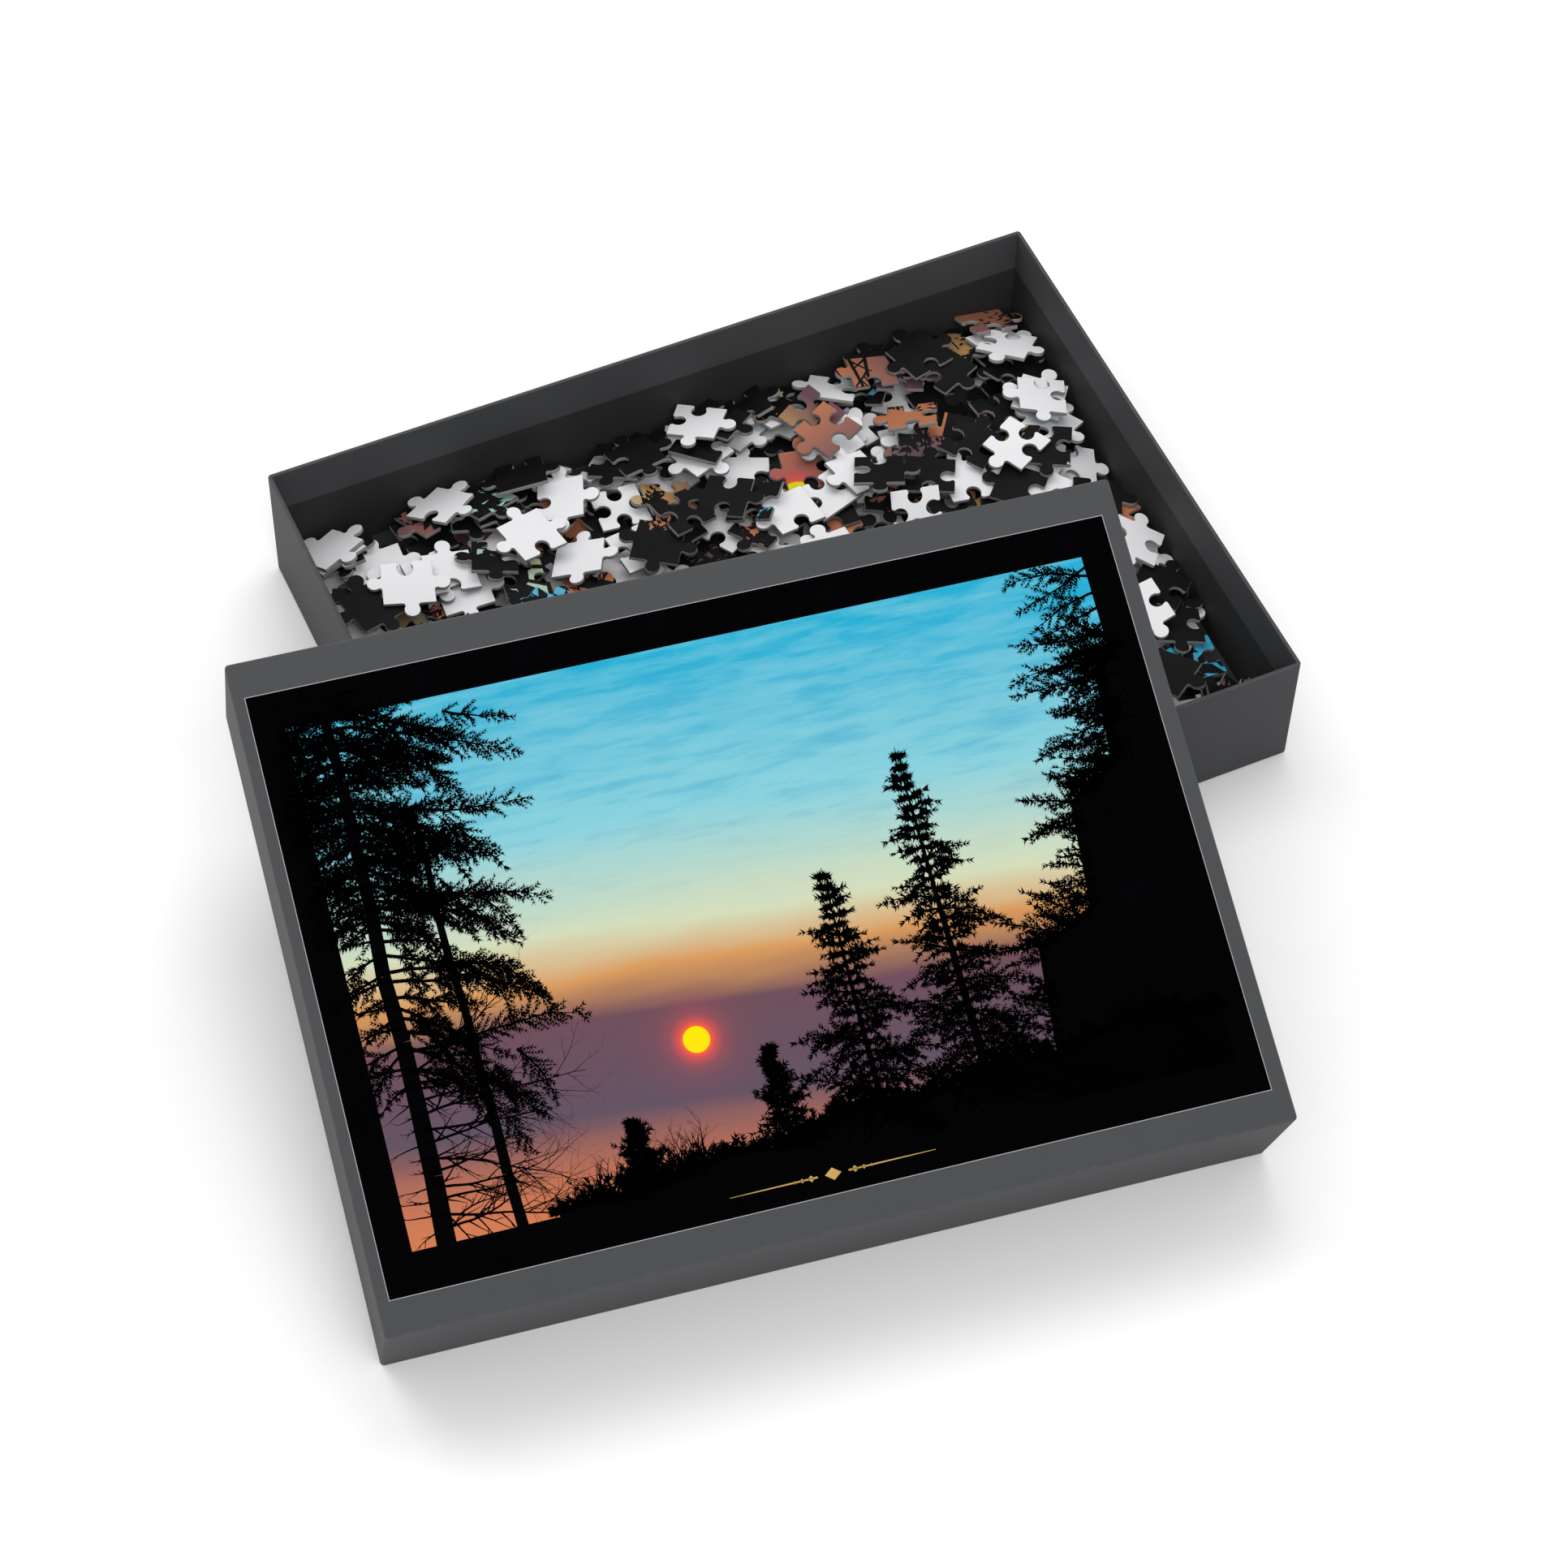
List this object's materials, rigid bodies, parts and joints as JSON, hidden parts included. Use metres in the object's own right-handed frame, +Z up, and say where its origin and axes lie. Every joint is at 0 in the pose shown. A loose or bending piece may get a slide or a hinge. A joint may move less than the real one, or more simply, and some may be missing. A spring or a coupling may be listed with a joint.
{
  "type": "boxed jigsaw puzzle",
  "caption": "Rigid cardboard box with a lift-off picture lid leaning on the open tray, filled with loose interlocking jigsaw puzzle pieces.",
  "frame": {"origin": "middle of the underside of the tray's base sheet, on the surface that the tray stands on", "axes": "+X along the tray's long side, +Y towards the tray's back, away from the lid, +Z up out of the open tray"},
  "size_m": [0.4532, 0.4499, 0.1472],
  "materials": {
    "greyboard": "matte",
    "stay_paper": "matte",
    "wrap_paper": "matte",
    "liner_paper": "matte",
    "printed_label": "satin",
    "puzzle_card": "matte"
  },
  "bodies": {
    "tray": {"tray_base_sheet": "wrap_paper", "tray_board_back_flap": "greyboard", "tray_board_front_flap": "greyboard", "tray_board_left_flap": "greyboard", "tray_board_panel": "greyboard", "tray_board_right_flap": "greyboard", "tray_corner_stay_1": "stay_paper", "tray_corner_stay_2": "stay_paper", "tray_corner_stay_3": "stay_paper", "tray_corner_stay_4": "stay_paper", "tray_liner": "liner_paper", "tray_wrap": "wrap_paper", "pieces_row_01": "puzzle_card", "pieces_row_02": "puzzle_card", "pieces_row_03": "puzzle_card", "pieces_row_04": "puzzle_card", "pieces_row_05": "puzzle_card", "pieces_row_06": "puzzle_card", "pieces_row_07": "puzzle_card", "pieces_row_08": "puzzle_card", "pieces_row_09": "puzzle_card", "pieces_row_10": "puzzle_card", "pieces_row_11": "puzzle_card", "pieces_row_12": "puzzle_card", "pieces_row_13": "puzzle_card", "pieces_row_14": "puzzle_card", "pieces_row_15": "puzzle_card", "pieces_row_16": "puzzle_card", "pieces_row_17": "puzzle_card", "pieces_row_18": "puzzle_card", "pieces_row_19": "puzzle_card", "pieces_row_20": "puzzle_card"},
    "lid": {"lid_board_back_flap": "greyboard", "lid_board_front_flap": "greyboard", "lid_board_left_flap": "greyboard", "lid_board_panel": "greyboard", "lid_board_right_flap": "greyboard", "lid_corner_stay_1": "stay_paper", "lid_corner_stay_2": "stay_paper", "lid_corner_stay_3": "stay_paper", "lid_corner_stay_4": "stay_paper", "lid_liner": "liner_paper", "lid_picture_label": "printed_label", "lid_wrap": "wrap_paper"},
    "loose_01": {"loose_piece_01": "puzzle_card"},
    "loose_02": {"loose_piece_02": "puzzle_card"},
    "loose_03": {"loose_piece_03": "puzzle_card"},
    "loose_04": {"loose_piece_04": "puzzle_card"},
    "loose_05": {"loose_piece_05": "puzzle_card"},
    "loose_06": {"loose_piece_06": "puzzle_card"},
    "loose_07": {"loose_piece_07": "puzzle_card"},
    "loose_08": {"loose_piece_08": "puzzle_card"},
    "loose_09": {"loose_piece_09": "puzzle_card"},
    "loose_10": {"loose_piece_10": "puzzle_card"},
    "loose_11": {"loose_piece_11": "puzzle_card"},
    "loose_12": {"loose_piece_12": "puzzle_card"}
  },
  "joints": [
    {"name": "lid_lift", "type": "slide", "parent": "tray", "child": "lid", "axis": [0, 0, 1], "range_m": [0, 0.2]},
    {"name": "loose_piece_01_lift", "type": "slide", "parent": "tray", "child": "loose_01", "axis": [0, 0, 1], "range_m": [0, 0.09]},
    {"name": "loose_piece_02_lift", "type": "slide", "parent": "tray", "child": "loose_02", "axis": [0, 0, 1], "range_m": [0, 0.09]},
    {"name": "loose_piece_03_lift", "type": "slide", "parent": "tray", "child": "loose_03", "axis": [0, 0, 1], "range_m": [0, 0.09]},
    {"name": "loose_piece_04_lift", "type": "slide", "parent": "tray", "child": "loose_04", "axis": [0, 0, 1], "range_m": [0, 0.09]},
    {"name": "loose_piece_05_lift", "type": "slide", "parent": "tray", "child": "loose_05", "axis": [0, 0, 1], "range_m": [0, 0.09]},
    {"name": "loose_piece_06_lift", "type": "slide", "parent": "tray", "child": "loose_06", "axis": [0, 0, 1], "range_m": [0, 0.09]},
    {"name": "loose_piece_07_lift", "type": "slide", "parent": "tray", "child": "loose_07", "axis": [0, 0, 1], "range_m": [0, 0.09]},
    {"name": "loose_piece_08_lift", "type": "slide", "parent": "tray", "child": "loose_08", "axis": [0, 0, 1], "range_m": [0, 0.09]},
    {"name": "loose_piece_09_lift", "type": "slide", "parent": "tray", "child": "loose_09", "axis": [0, 0, 1], "range_m": [0, 0.09]},
    {"name": "loose_piece_10_lift", "type": "slide", "parent": "tray", "child": "loose_10", "axis": [0, 0, 1], "range_m": [0, 0.09]},
    {"name": "loose_piece_11_lift", "type": "slide", "parent": "tray", "child": "loose_11", "axis": [0, 0, 1], "range_m": [0, 0.09]},
    {"name": "loose_piece_12_lift", "type": "slide", "parent": "tray", "child": "loose_12", "axis": [0, 0, 1], "range_m": [0, 0.09]}
  ]
}
